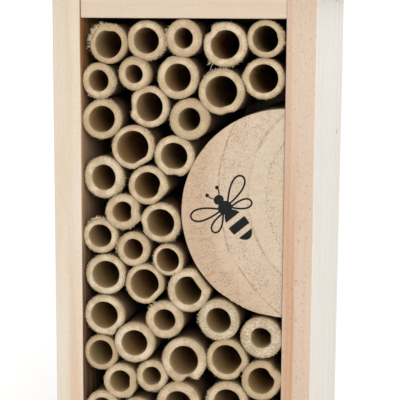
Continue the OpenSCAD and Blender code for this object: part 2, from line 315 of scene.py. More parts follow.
def log_finish():
    """Sawn end grain. Year rings are bands of distance from the heart, pores are
    dots scattered in those bands, and saw scratches are noise drawn out along
    the radius. The same bands run through the log and show along its side."""
    wood = Finish("sawn_log", 0.66)
    spot = wood.place()
    x, y, z = wood.parts(wood.moved(spot, move=(-LOG_HEART[0], 0, -LOG_HEART[1])))
    out = wood.reach(x, z)
    face = wood.moved(spot, scale=(1, 0.06, 1))
    slow = wood.noise(face, 0.035, 1.0)
    out = wood.calc("ADD", out, wood.ease(slow, 0.3, 0.7, -0.9, 0.9))
    angle = wood.calc("ARCTAN2", z, x)
    share = wood.calc("DIVIDE", out, WIDEST_RING)
    base = wood.ramp(share, (
        (0.40, (217, 200, 173)), (0.55, (218, 200, 174)), (0.57, (216, 196, 170)),
        (0.70, (214, 192, 165)), (0.73, (214, 190, 163)), (0.80, (204, 175, 145)),
        (0.88, (205, 177, 147)), (1.0, (201, 175, 144))))
    cloud = wood.noise(face, 0.09, 3.0)
    base = wood.tinted(base, cloud, 0.3, 0.7, 0.3, linear(202, 174, 140))
    fading = wood.noise(face, 0.11, 1.0)
    dashes = wood.ease(wood.noise(face, 1.1, 2.0, 0.7), 0.4, 0.62, 0.3, 1.0)
    late_rings = ((33.4, 0.35, 0.6), (39.2, 0.8, 0.65), (49.6, 0.45, 0.8), (61.0, 0.6, 0.15))
    for radius, width, show in late_rings:
        near = wood.calc("ABSOLUTE", wood.calc("SUBTRACT", out, radius))
        patchy = wood.ease(fading, 0.35, 0.6, 0.15, show)
        line = wood.times(wood.ease(near, width, 0.0), patchy)
        base = wood.blend(wood.times(line, dashes), base, linear(132, 92, 66))
    banded = wood.ramp(share, [(place, (show, show, show, 1)) for place, show in (
        (0.40, 0.3), (0.45, 0.5), (0.477, 1.0), (0.50, 0.25), (0.57, 0.3), (0.62, 0.75),
        (0.70, 1.0), (0.72, 0.25), (0.76, 0.5), (0.80, 1.0), (0.85, 0.9), (0.88, 0.3))])
    group = wood.ease(wood.noise(face, 0.3, 3.0), 0.4, 0.6)
    fine = wood.dots(face, 1.9, 0.26)
    coarse = wood.dots(face, 1.05, 0.17, 0.06)
    pores = wood.times(wood.calc("MAXIMUM", wood.times(fine, group), coarse), banded)
    base = wood.blend(pores, base, linear(84, 56, 42))
    around, outward, inward = wood.times(angle, 55.0), wood.times(out, 0.16), wood.times(y, 0.02)
    turned = wood.node("ShaderNodeCombineXYZ", {0: around, 1: outward, 2: inward})
    rays = wood.noise(turned, 1.0, 3.0, 0.6)
    scratched = wood.times(wood.ease(rays, 0.5, 0.72), wood.ease(share, 0.72, 0.84, 0.2, 0.5))
    base = wood.blend(scratched, base, linear(172, 134, 104))
    grit = wood.noise(face, 1.5, 3.0, 0.75)
    base = wood.tinted(base, grit, 0.42, 0.72, 0.3, linear(160, 124, 98))
    height = wood.calc("ADD", wood.times(rays, 0.7), wood.times(grit, 0.5))
    sawn = wood.bump(height, 0.08 * MM, 0.55)
    return wood.done(base, wood.bump(pores, 0.1 * MM, -0.8, sawn))


def ply_finish():
    """Birch plywood: a pale face clouded by a slow swirl, with fine grain and short flecks."""
    ply = Finish("birch_ply", 0.6)
    spot = ply.place()
    grain = ply.noise(ply.moved(spot, scale=(1.6, 1.0, 0.05)), 1.0, 4.0, 0.6)
    swirl = ply.noise(ply.moved(spot, scale=(0.06, 0.06, 0.015)), 1.0, 3.0)
    base = ply.blend(ply.ease(swirl, 0.35, 0.65), linear(226, 205, 172), linear(212, 184, 146))
    base = ply.tinted(base, grain, 0.45, 0.7, 0.4, linear(186, 152, 112))
    flecks = ply.ease(ply.noise(ply.moved(spot, scale=(2.4, 2.4, 0.3)), 1.0, 1.0), 0.72, 0.8)
    base = ply.blend(ply.times(flecks, 0.5), base, linear(140, 104, 70))
    return ply.done(base, ply.bump(grain, 0.05 * MM, 0.5), ply.ease(grain, 0.3, 0.7, 0.5, 0.68))


def ink_finish():
    """Stamped ink, soaked into the wood: nearly black, worn thin in small specks."""
    ink = Finish("stamp_ink", 0.7, **{"Specular IOR Level": 0.15})
    spot = ink.place()
    worn = ink.ease(ink.noise(spot, 1.6, 3.0, 0.7), 0.56, 0.72)
    base = ink.blend(ink.times(worn, 0.4), linear(22, 24, 24), linear(84, 70, 58))
    return ink.done(base, ink.bump(ink.noise(spot, 2.2, 2.0, 0.7), 0.05 * MM, 0.5))


def steel_finish(name, bright, dull):
    """Bare or plated steel with faint clouding and fine scratches."""
    steel = Finish(name, 0.32, Metallic=1.0)
    spot = steel.place()
    cloud = steel.noise(spot, 0.6, 3.0)
    scratch = steel.noise(steel.moved(spot, scale=(9.0, 9.0, 0.7)), 1.0, 2.0)
    base = steel.blend(steel.ease(cloud, 0.35, 0.65), bright, dull)
    return steel.done(base, steel.bump(scratch, 0.01 * MM, 0.4), steel.ease(cloud, 0.3, 0.7, 0.26, 0.44))


# ---------------- surfaces

CAPS = [-2, -1]               # a capped loft's caps are its last two faces


def loft(grid, looped=False):
    """Faces over a grid of points whose rows are rings. Each ring is closed. The
    rings close into a loop, or else the first and last are capped flat."""
    rows, columns = grid.shape[:2]
    index = np.arange(rows * columns).reshape(rows, columns)
    here, there = (index, np.roll(index, -1, axis=0)) if looped else (index[:-1], index[1:])
    quads = np.stack([here, there, np.roll(there, -1, axis=1), np.roll(here, -1, axis=1)], axis=-1)
    faces = quads.reshape(-1, 4).tolist()
    if not looped:
        faces += [index[0].tolist(), index[-1][::-1].tolist()]
    return grid.reshape(-1, 3), faces


def join(shapes):
    """Several (points, faces) as one, each one's corner numbers moved past the last's."""
    points, faces = [], []
    for shape_points, shape_faces in shapes:
        start = sum(len(p) for p in points)
        points.append(shape_points)
        faces += [[start + corner for corner in face] for face in shape_faces]
    return np.concatenate(points), faces


def make(name, points, faces, finish, flat=(), marks=None, node=None):
    """One piece from points and faces: shaded smooth but for the flat faces, all
    faces turned outward, with its marks stored on the points, and in the place of
    its node. They all ride on the root: only the ring moves, and it stays a node."""
    mesh = bpy.data.meshes.new(name)
    mesh.from_pydata(np.asarray(points).tolist(), [], faces)
    smooth = np.ones(len(faces), bool)
    smooth[list(flat)] = False
    mesh.polygons.foreach_set("use_smooth", smooth)
    for mark, values in (marks or {}).items():
        kind = "FLOAT_VECTOR" if np.ndim(values) == 2 else "FLOAT"
        stored = mesh.attributes.new(mark, kind, "POINT")
        stored.data.foreach_set("vector" if kind == "FLOAT_VECTOR" else "value",
                                np.asarray(values, np.float32).ravel())
    mesh.materials.append(finish)
    mesh.update()
    corners = np.zeros(len(mesh.vertices) * 3)
    mesh.vertices.foreach_get("co", corners)
    if volume(mesh, corners.reshape(-1, 3)) < 0:
        mesh.flip_normals()
    piece = bpy.data.objects.new(name, mesh)
    bpy.context.scene.collection.objects.link(piece)
    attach(piece, "root")
    if node:
        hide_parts(node)


def volume(mesh, corners):
    """Signed volume: the sum over triangles of a . (b x c) / 6."""
    mesh.calc_loop_triangles()
    triangles = np.zeros(len(mesh.loop_triangles) * 3, int)
    mesh.loop_triangles.foreach_get("vertices", triangles)
    a, b, c = corners[triangles.reshape(-1, 3)].transpose(1, 0, 2)
    return np.einsum("ij,ij->i", a, np.cross(b, c)).sum() / 6


def wander(rng, along, waves, steps=1.0):
    """A smooth seeded curve in about -1..1: a sum of sines of rising frequency."""
    turns = rng.uniform(0, 2 * np.pi, waves)
    heights = rng.uniform(0.4, 1.0, waves) / np.arange(1, waves + 1) ** 0.6
    wave = np.sin(np.outer(along * 2 * np.pi * steps, np.arange(1, waves + 1)) + turns)
    return wave @ heights / heights.sum()


def eased(length, between, ease, turn):
    """How far along each ring lies, and how far it is drawn in there: a quarter
    circle at both ends, and nothing at the places between."""
    rise, draw = ease * (1 - np.sin(turn)), ease * (1 - np.cos(turn))
    place = np.concatenate([rise, between, length - rise[::-1]])
    return place, np.concatenate([draw, 0 * between, draw[::-1]])


# ---------------- boards

EASE = 0.45 * MM              # how far the boards' edges are rounded
END_TURN = np.radians([90, 66, 44, 22, 0])
CORNER_TURN = np.radians([0, 22.5, 45, 67.5, 90])


def board(name, node, start, along, across, upright, finish, slant=0.0, seed=0):
    """A rounded rectangle carried along a board. Its corner radius wanders along
    the length, and at each end it draws in along a quarter circle. start is one
    corner, the three vectors run along its sides, and slant makes the far end
    longer by that share of the height above the first face."""
    rng = np.random.default_rng(SEED + seed)
    length, width, height = (np.linalg.norm(side) for side in (along, across, upright))
    axes = [np.array(side) / size for side, size in ((along, length), (across, width), (upright, height))]
    middle = np.linspace(0, 1, 46)[1:-1] * (length - 2 * EASE) + EASE
    place, inset = eased(length, middle, EASE, END_TURN)
    ring = []
    for quarter, (right, top) in enumerate(((1, 1), (0, 1), (0, 0), (1, 0))):
        radius = EASE * (1 + 0.45 * wander(rng, place / length, 9, 2.0))
        radius = np.maximum(radius - inset, 0.04 * EASE)
        turn = CORNER_TURN + quarter * np.pi / 2
        corner_x = np.where(right, width - inset - radius, inset + radius)
        corner_z = np.where(top, height - inset - radius, inset + radius)
        ring.append(np.stack([corner_x[:, None] + radius[:, None] * np.cos(turn),
                              corner_z[:, None] + radius[:, None] * np.sin(turn)], axis=-1))
    ring = np.concatenate(ring, axis=1)
    far = place[:, None] * (1 + slant * ring[..., 1] / length)
    grid = (np.array(start) + far[..., None] * axes[0] + ring[..., :1] * axes[1] + ring[..., 1:] * axes[2])
    points, faces = loft(grid)
    columns = ring.shape[1]
    flat = [row * columns + column for row in range(len(place) - 1)
            for column in range(len(CORNER_TURN) - 1, columns, len(CORNER_TURN))]
    make(name, points, faces, finish, flat + CAPS, node=node)


def panel(name, node, outline, near, far, finish):
    """A convex outline with rounded corners, carried through a panel's thickness.
    Each corner is a point set in by the ease plus a small arc that joins its two
    sides' normals, and the front and back edges draw in along quarter circles."""
    outline = np.array(outline)
    sides = np.roll(outline, -1, axis=0) - outline
    normals = np.stack([-sides[:, 1], sides[:, 0]], axis=1) / np.linalg.norm(sides, axis=1)[:, None]
    before = np.roll(normals, 1, axis=0)
    bisector = (before + normals) / (1 + (before * normals).sum(1))[:, None]
    centres = outline - bisector * EASE
    swing = np.linspace(0, 1, 5)[None, :, None]
    spokes = before[:, None] * (1 - swing) + normals[:, None] * swing
    spokes /= np.linalg.norm(spokes, axis=-1)[..., None]
    place, inset = eased(far - near, np.zeros(0), EASE, END_TURN)
    radius = np.maximum(EASE - inset, 0.04 * EASE)
    ring = centres[None, :, None] + radius[:, None, None, None] * spokes[None]
    ring = ring.reshape(len(place), -1, 2)
    y = np.broadcast_to(near + place[:, None], ring.shape[:2])
    grid = np.stack([ring[..., 0], y, ring[..., 1]], axis=-1)
    points, faces = loft(grid)
    make(name, points, faces, finish, CAPS, node=node)


# ---------------- half log

def half_log_piece(finish):
    """Half a round log: an arc closed by its sawn flat, carried back from the
    face. The arc's radius wanders a little, and chips at the face's lower edge
    die away behind it."""
    low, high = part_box("half_log")
    rng = np.random.default_rng(SEED + 1)
    radius, long = (high.z - low.z) / 2, high.y - low.y
    flat_x, middle_z = high.x, (high.z + low.z) / 2
    between = np.array([1, 2.5, 5, 10, 20, 40]) * MM
    back, inset = eased(long, between, 0.3 * MM, np.radians([90, 60, 30, 0]))
    sweep = np.linspace(0, 1, 241)
    lumps = 0.16 * MM * (wander(rng, sweep, 8, 1.5) - 1)
    below = np.exp(-((sweep - 0.86) / 0.09) ** 2)
    chips = -0.4 * MM * below * np.clip(wander(rng, sweep, 9, 7.0) + 0.2, 0, 1)
    fading = np.exp(-back / (3 * MM))
    size = radius - inset[:, None] + lumps + fading[:, None] * chips
    half = np.arccos(np.clip(-inset / (radius - inset), -1, 1))
    angle = half[:, None] + (2 * np.pi - 2 * half[:, None]) * sweep
    x = np.minimum(flat_x + size * np.cos(angle), flat_x - inset[:, None])
    z = middle_z + size * np.sin(angle)
    y = np.broadcast_to(low.y + back[:, None], x.shape)
    points, faces = loft(np.stack([x, y, z], axis=-1))
    columns = len(sweep)
    flat = [row * columns + columns - 1 for row in range(len(back) - 1)]
    make("half_round_log", points, faces, finish, flat + CAPS, node="half_log")


# ---------------- stamped bee

INK = 0.05 * MM               # how far the stamp stands off the wood


def slab(outline, front, lift=1.0):
    """A closed outline (x, z) made a film of ink on the face at front. lift is a
    share of the film's height, so that films that cross don't share a face."""
    grid = np.stack([np.column_stack([outline[:, 0], np.full(len(outline), y), outline[:, 1]])
                     for y in (front - lift * INK, front + lift * INK)])
    return loft(grid)


def band(line, width, front, lift=0.6):
    """A closed line (x, z) drawn with a pen of that width: an outer and an inner
    copy of it, set off along its normals, joined front and back."""
    ahead = np.roll(line, -1, axis=0) - np.roll(line, 1, axis=0)
    normal = np.stack([ahead[:, 1], -ahead[:, 0]], axis=1) / np.linalg.norm(ahead, axis=1)[:, None]
    outer, inner = line + normal * width / 2, line - normal * width / 2
    grid = [np.column_stack([side[:, 0], np.full(len(line), front + lift * out), side[:, 1]])
            for side, out in ((outer, -INK), (outer, INK), (inner, INK), (inner, -INK))]
    return loft(np.stack(grid), looped=True)


def oval(long, wide, around=40, start=0.0, end=2 * np.pi):
    """An ellipse, or the slice of it between two angles, with its long axis up."""
    turn = np.linspace(start, end, around, endpoint=end - start < 2 * np.pi - 1e-6)
    return np.stack([wide / 2 * np.sin(turn), long / 2 * np.cos(turn)], axis=1)


def wing(long, wide, lean):
    """A rounded wing: a circle pulled to a blunt root, leant out from the body."""
    turn = np.linspace(0, 2 * np.pi, 56, endpoint=False)
    along = (1 - np.cos(turn)) / 2
    shape = np.stack([wide / 2 * np.sin(turn) * (0.35 + 0.65 * along), long * along], axis=1)
    return shape @ spun(lean).T


def spun(degrees):
    """The matrix that turns (x, z) points clockwise, as seen from the front."""
    angle = math.radians(degrees)
    return np.array([[math.cos(angle), math.sin(angle)], [-math.sin(angle), math.cos(angle)]])


def bee_stamp(finish):
    """A plain bee seen from above, head up: round head and thorax, a banded oval
    body, two open wings on each side and two short feelers, stamped at a slant."""
    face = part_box("half_log")[0].y
    middle = np.array([16.8, 101.0]) * MM
    slant = spun(-40)
    pen = 0.62 * MM

    def stamped(shape, x, z):
        return (shape + np.array([x, z]) * MM) @ slant.T + middle

    shapes = [slab(stamped(oval(3.2 * MM, 3.6 * MM), 0, 6.2), face, 1.2),
              slab(stamped(oval(4.6 * MM, 5.0 * MM), 0, 2.8), face, 1.4)]
    for first, last in ((26.0, 60.0), (80.0, 108.0), (128.0, 180.0)):
        right = oval(12.0 * MM, 7.0 * MM, 14, math.radians(first), math.radians(last))
        left = right[::-1] * [-1, 1]
        left = left[1:] if last == 180.0 else left
        shapes.append(slab(stamped(np.concatenate([right, left]), 0, -4.4), face))
    for side in (-1, 1):
        shapes.append(band(stamped(wing(10.5 * MM, 5.6 * MM, side * 66), side * 1.8, 3.2), pen, face, 0.8))
        shapes.append(band(stamped(wing(7.0 * MM, 4.2 * MM, side * 114), side * 2.0, 1.6), pen, face))
        shapes.append(slab(stamped(oval(1.3 * MM, 1.3 * MM, 20), side * 2.2, 9.8), face))
        way = np.linspace(0, 1, 9)[:, None]
        straight = [side * 0.9, 7.2] + way * [side * 1.2, 2.2]
        feeler = (straight + np.sin(way * np.pi) * [side * 0.3, 0]) * MM
        edge = [0.2 * MM, 0]
        shapes.append(slab(stamped(np.concatenate([feeler + edge, feeler[::-1] - edge]), 0, 0), face))
    points, faces = join(shapes)
    make("bee_stamp", points, faces, finish, range(len(faces)))


# ---------------- canes

AROUND = 108
RIM_OUT, RIM_IN = 0.6 * MM, 0.3 * MM
SKIN_OUT, BORE_OUT = 0.18 * MM, 0.06 * MM      # how far past the plain tube's skin and bore

# What marks each cane's mouth: kind, hour, half-width in hours, and millimetres.
# A dent bends the wall in, a bump swells its outside or below 0 bites into it, a
# flat cuts it straight, bore narrows the hole, and a notch is torn back.
CANE_MARKS = {
    11: [("flat", 3, 1.4, 0.5), ("bump", 5, 0.5, 0.5)],
    13: [("dent", 1.5, 0.5, 0.9), ("bore", 1.9, 0.6, 0.5), ("bump", 2.6, 0.4, 0.6), ("dent", 4.2, 0.6, 0.2)],
    14: [("bump", 5.6, 0.5, -1.9), ("notch", 5.6, 0.5, 0.8), ("bump", 6.5, 0.3, 0.35),
         ("bump", 4.8, 0.3, 0.35)],
    16: [("dent", 4.3, 0.4, 0.7), ("bump", 3.2, 0.5, 0.5), ("bore", 3.0, 0.5, -0.4)],
    18: [("bore", 3.0, 0.5, 0.25), ("bore", 5.0, 0.8, 0.15), ("bore", 9.0, 0.6, 0.15)],
    19: [("dent", 4.5, 0.45, 0.7), ("bump", 5.2, 0.35, 0.5)],
    22: [("flat", 1.7, 1.5, 1.1), ("bump", 3.0, 0.3, 0.35), ("bump", 0.3, 0.3, 0.2)],
    23: [("flat", 4.5, 1.2, 0.6)],
    24: [("dent", 3.0, 0.7, 0.35)],
    25: [("bump", 4.3, 0.5, 0.4)],
    28: [("dent", 8.6, 0.45, 0.55), ("bump", 9.3, 0.35, 0.3), ("bump", 7.9, 0.35, 0.2)],
    29: [("dent", 2.9, 0.55, 0.75), ("bump", 3.8, 0.4, 0.5), ("bore", 3.0, 0.8, 0.5)],
    30: [("bump", 3.2, 0.55, 0.6), ("dent", 4.4, 0.7, 0.3), ("bore", 3.4, 0.6, 0.45)],
    32: [("dent", 6.0, 0.4, 0.5), ("bump", 5.2, 0.35, 0.35), ("bump", 6.8, 0.35, 0.2)],
    33: [("flat", 5.0, 1.2, 0.7)],
    34: [("dent", 10.6, 1.0, 0.2)],
    36: [("dent", 8.9, 0.7, 0.7), ("bump", 8.1, 0.4, 0.6), ("bump", 10.2, 0.4, 0.25)],
    37: [("flat", 5.4, 0.9, 0.35), ("bump", 4.7, 0.4, 0.25)],
    39: [("dent", 11.5, 1.0, 0.15)],
    40: [("bump", 9.0, 0.45, 0.5), ("dent", 8.3, 0.35, 0.3)],
    42: [("flat", 0.1, 1.0, 0.35), ("dent", 10.0, 0.7, 0.4), ("bore", 0.2, 1.2, 0.5)],
    43: [("dent", 10.3, 0.35, 0.9), ("bump", 11.0, 0.4, 0.35), ("dent", 9.0, 1.0, 0.2)],
    44: [("dent", 4.6, 0.8, 0.15)],
    45: [("dent", 9.0, 1.0, 0.2)],
    46: [("bore", 2.6, 0.4, 0.25)],
}
COLLARED = {41: 0.55}         # canes that swell just behind the mouth, in millimetres
# Canes whose cut shows coarse fibre, from 0 to 1.
SPECKLED = {18: 1.0, 21: 0.9, 35: 0.55, 45: 0.45, 44: 0.3, 8: 0.5, 13: 0.3}
# How tan a cane's cut is, from pale 0 to tan 1.
TAN = {24: 0.0, 17: 0.0, 31: 0.1, 19: 0.1, 14: 0.2, 25: 0.2, 21: 0.2, 43: 0.2, 32: 0.2, 27: 0.3,
       30: 0.3, 18: 0.3, 22: 0.3, 26: 0.6, 41: 0.6, 37: 0.6, 23: 0.6, 33: 0.6, 45: 0.6, 46: 0.6,
       38: 0.6, 16: 0.7, 35: 0.8, 13: 0.8, 34: 0.8, 42: 0.9, 15: 1.0}
# Bores that are warmer brown, from olive 0 to brown 1.
WARM = {43: 1.0, 25: 1.0, 29: 0.9, 33: 0.8, 31: 0.75, 13: 0.8, 12: 0.4, 17: 0.8, 38: 0.7, 34: 0.6, 40: 0.7,
        22: 0.1, 15: 0.1, 36: 0.35, 46: 0.3, 42: 0.2, 28: 0.3, 24: 0.2, 44: 0.6}


def shaped(hours, marks, outer, bore):
    """The outer and inner radius round a cane, and how far its mouth is torn back.
    Dents, bumps and notches are bell curves about an hour, and a flat is a
    chord: its distance over the cosine of the angle away from its middle."""
    wall, hole, torn = (np.full(len(hours), start) for start in (outer, bore, 0.0))
    for kind, hour, spread, size in marks:
        away = (hours - hour + 6) % 12 - 6
        bell = np.exp(-(away / spread) ** 2)
        size = size * MM
        if kind == "dent":
            wall, hole = wall - size * bell, hole - 0.35 * size * np.exp(-(away / (1.5 * spread)) ** 2)
        elif kind == "bump":
            wall = wall + size * bell
        elif kind == "bore":
            hole = hole - size * bell
        elif kind == "notch":
            torn = torn + size * bell
        else:
            turn = np.cos(np.radians(np.clip(away, -2.4, 2.4) * 30))
            wall = np.minimum(wall, (outer - size) / turn)
            hole = np.minimum(hole, (bore - 0.8 * size) / turn)
    return wall, hole, torn


def cane(number, bore, finish):
    """A cut cane: the section of its wall, a closed loop from the tail along the
    skin, over the rounded mouth and back down the bore, carried once round the
    middle. Both radii are functions of the hour. across is 0 on the skin and 1 in
    the bore, deep is the distance behind the mouth, and set_in and flare round it."""
    node = f"tube_{number:02d}"
    rng = np.random.default_rng(SEED + 100 + number)
    low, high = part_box(node)
    middle = (low + high) / 2
    outer, long = (high.x - low.x) / 2, high.y - low.y
    share = np.arange(AROUND) / AROUND
    hours, angle = 12 * share, 2 * np.pi * share
    wall, hole, torn = shaped(hours, CANE_MARKS.get(number, []), outer + SKIN_OUT, bore + BORE_OUT)
    out_of_round = 0.11 * MM * np.cos(2 * angle + rng.uniform(0, 2 * np.pi))
    out_of_round = out_of_round + 0.06 * MM * wander(rng, share, 6)
    wall = wall + out_of_round
    hole = hole + 0.8 * out_of_round + 0.05 * MM * wander(rng, share, 7)
    ragged = 0.05 * MM * wander(rng, share, 12, 3.0)
    lean = 0.12 * MM * np.cos(angle + rng.uniform(0, 2 * np.pi)) + 0.05 * MM * wander(rng, share, 8, 2.0)

    turn = np.radians([0, 25, 50, 75])
    far_in = np.array([1, 0.6, 0.3]) * long
    skin_deep = np.concatenate([far_in, np.array([12, 6, 3.5, 2, 1.1, 0.7]) * MM])
    bore_deep = np.concatenate([np.array([0.35, 0.7, 1.5, 3, 6, 12]) * MM, far_in[::-1]])
    face = np.linspace(0, 1, 7)
    count = [len(skin_deep), len(turn), len(face), len(turn), len(bore_deep)]
    deep = np.concatenate([skin_deep, RIM_OUT * (1 - np.sin(turn)), 0 * face,
                           RIM_IN * (1 - np.sin(turn[::-1])), bore_deep])
    set_in = np.concatenate([np.zeros(count[0]), RIM_OUT * (1 - np.cos(turn)), RIM_OUT + 0 * face,
                             0 * turn, np.zeros(count[4])])
    across = np.repeat([0.0, 0.0, 0.0, 1.0, 1.0], count)
    across[sum(count[:2]):sum(count[:3])] = face
    flare = np.concatenate([np.zeros(sum(count[:3])), RIM_IN * (1 - np.cos(turn[::-1])), 0 * bore_deep])
    swell = np.zeros(len(deep))
    swell[:count[0]] = COLLARED.get(number, 0) * MM * np.exp(-((skin_deep - 2.6 * MM) / (1.3 * MM)) ** 2)
    near_mouth = np.exp(-deep / (1.2 * MM))
    radius = ((1 - across[:, None]) * (wall - set_in[:, None] + ragged * near_mouth[:, None])
              + across[:, None] * hole + (swell + flare)[:, None])
    depth = deep[:, None] + (torn + lean - lean.min()) * np.exp(-deep / (4 * MM))[:, None]
    depth = np.clip(depth, 0, long)
    across_x, across_z = radius * np.sin(angle), radius * np.cos(angle)
    grid = np.stack([middle.x + across_x, low.y + depth, middle.z + across_z], axis=-1)
    points, faces = loft(grid, looped=True)

    thick = np.concatenate([np.full(count[0], 1.2), np.linspace(1.1, 0.97, count[1]), 0.95 - 0.9 * face,
                            np.linspace(0.03, -0.03, count[3]), np.full(count[4], -0.2)])
    strands = np.stack(np.broadcast_arrays(2.6 * outer / MM * np.sin(angle), 2.6 * outer / MM * np.cos(angle),
                                           0.7 * thick[:, None] + 0.15 * deep[:, None] / MM), axis=-1)
    tone = (TAN.get(number, 0.45) + rng.uniform(-0.1, 0.1),
            SPECKLED.get(number, rng.uniform(0.0, 0.2)),
            WARM.get(number, rng.uniform(0.2, 0.8)))
    marks = {"wall": np.repeat(thick, AROUND), "deep": (depth / MM).ravel(),
             "end_grain": (strands + rng.uniform(0, 50)).reshape(-1, 3),
             "tone": np.tile(tone, (len(points), 1))}
    make(f"cane_{number:02d}", points, faces, finish, marks=marks, node=node)


# Where loose fibre stands at a cane's mouth: cane, hour, spread in hours, number
# of strands, and their length in millimetres.
FRAYED = [
    (42, 10.0, 1.3, 98, 1.5), (42, 11.8, 1.0, 50, 0.9), (44, 4.2, 1.2, 64, 1.0), (44, 2.8, 0.6, 25, 0.9),
    (45, 9.0, 1.1, 64, 1.0), (46, 2.8, 1.0, 48, 0.9), (38, 5.6, 1.5, 62, 0.9), (38, 3.4, 0.6, 20, 0.8),
    (27, 11.6, 0.9, 56, 1.1), (31, 3.8, 0.9, 48, 1.0), (33, 1.8, 1.1, 64, 1.0), (26, 9.2, 0.9, 31, 0.8),
    (28, 4.8, 0.7, 25, 1.0), (37, 11.6, 1.6, 36, 0.6), (36, 3.2, 0.7, 20, 0.6), (39, 11.2, 0.8, 17, 0.6),
    (35, 2.0, 1.5, 22, 0.6), (40, 3.0, 0.7, 20, 0.8), (21, 9.2, 0.6, 17, 0.8), (24, 9.5, 1.0, 20, 0.6),
    (20, 10.5, 0.8, 17, 0.8), (16, 3.6, 0.6, 17, 0.9), (10, 9.5, 0.8, 22, 0.9), (43, 5.4, 1.0, 22, 0.8),
    (14, 6.6, 0.4, 25, 1.1), (12, 5.5, 0.8, 14, 0.6), (29, 5.0, 1.0, 20, 0.6), (18, 4.0, 2.0, 28, 0.5),
]
LONG_HAIRS = [(43, 7.0, 0.3, 3, 3.2), (43, 7.5, 0.3, 3, 2.0), (44, 5.9, 0.2, 2, 1.4), (34, 1.0, 0.2, 3, 1.6)]
NAP = (0, 12, 90, 0.5)        # the same for the fine nap that every cane has all round


def tuft(rng, number, hours, length, thick):
    """Tapering three-sided strands: each is a path that leaves the mouth's edge
    outward and curls by the square of the way along, with a triangle that shrinks
    to its tip carried along it."""
    low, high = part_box(f"tube_{number:02d}")
    middle, outer, count = (low + high) / 2, (high.x - low.x) / 2, len(hours)
    wall = shaped(hours, CANE_MARKS.get(number, []), outer + SKIN_OUT, outer)[0]
    turn = np.radians(30 * hours)
    ray = np.stack([np.sin(turn), 0 * turn, np.cos(turn)], axis=1)
    side = np.stack([np.cos(turn), 0 * turn, -np.sin(turn)], axis=1)
    front = np.array([0.0, -1.0, 0.0])
    root = np.array([middle.x, low.y, middle.z]) + ray * (wall - rng.uniform(0.02, 0.25, count) * MM)[:, None]
    root = root - front * rng.uniform(0.15, 0.5, count)[:, None] * MM
    grown = length * MM * rng.uniform(0.4, 1.15, count)[:, None, None]
    way = np.linspace(0, 1, 5)[None, :, None]
    heading = ray + 0.5 * side * rng.normal(0, 1, count)[:, None]
    heading = heading + front * rng.uniform(-0.5, 0.45, count)[:, None]
    heading /= np.linalg.norm(heading, axis=1)[:, None]
    curl = side * rng.normal(0, 0.5, count)[:, None] + front * rng.normal(0, 0.3, count)[:, None]
    path = root[:, None] + grown * (heading[:, None] * way + curl[:, None] * way ** 2 * 0.7)
    thin = thick * MM * (1 - 0.7 * way)
    corner = np.radians([0, 120, 240])
    ring = path[:, :, None] + thin[:, :, None] * (np.cos(corner)[:, None] * side[:, None, None]
                                                  + np.sin(corner)[:, None] * front)
    return [loft(strand) for strand in ring]


def fibres(name, tufts, thick, finish, seed):
    """Strands at the canes' mouths, thick in millimetres. Each tuft is a row of
    FRAYED's kind, and its hours are drawn from a bell curve about its own."""
    rng = np.random.default_rng(SEED + seed)
    strands = []
    for number, hour, spread, count, length in tufts:
        strands += tuft(rng, number, hour + spread * rng.normal(0, 0.55, count), length, thick)
    points, faces = join(strands)
    make(name, points, faces, finish)


# ---------------- nails

def nails(name, node, heads, finish):
    """Wire nails: a half section from the point, up the shank, under the head and
    over its low dome, carried round an axis at each place that has a nail."""
    shank, head, tall, long = 0.6 * MM, 1.0 * MM, 0.6 * MM, 25 * MM
    point, proud = 2.4 * MM, 0.06 * MM
    section = np.array([[0.02 * MM, -long], [shank, point - long], [shank, -tall], [0.95 * head, -tall],
                        [head, -0.7 * tall], [head, -0.1 * MM], [0.93 * head, 0.4 * proud],
                        [0.6 * head, 0.85 * proud], [0.05 * head, proud]])
    turn = np.linspace(0, 2 * np.pi, 24, endpoint=False)
    shapes = []
    for spot, out in heads:
        out = np.array(out, float) / np.linalg.norm(out)
        side = np.cross(out, [0, 1, 0] if abs(out[1]) < 0.9 else [1, 0, 0])
        side /= np.linalg.norm(side)
        other = np.cross(out, side)
        grid = (np.array(spot) + section[:, None, 1:] * out + section[:, None, :1]
                * (np.cos(turn)[None, :, None] * side + np.sin(turn)[None, :, None] * other))
        shapes.append(loft(grid))
    points, faces = join(shapes)
    make(name, points, faces, finish, node=node)


# ---------------- the case

left_low, left_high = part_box("left_side")
right_low, right_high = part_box("right_side")
top_low, top_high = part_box("top_board")
base_low, base_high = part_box("base_board")
back_low, back_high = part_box("back_panel")
gable_low, gable_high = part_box("gable_board")
roof_low, roof_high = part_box("roof_right")
side_t = left_high.x - left_low.x
depth = left_high.y - left_low.y
eave_z = left_high.z - side_t
ridge_z = gable_high.z

pine_pale, pine_late = linear(236, 221, 199), linear(214, 178, 140)
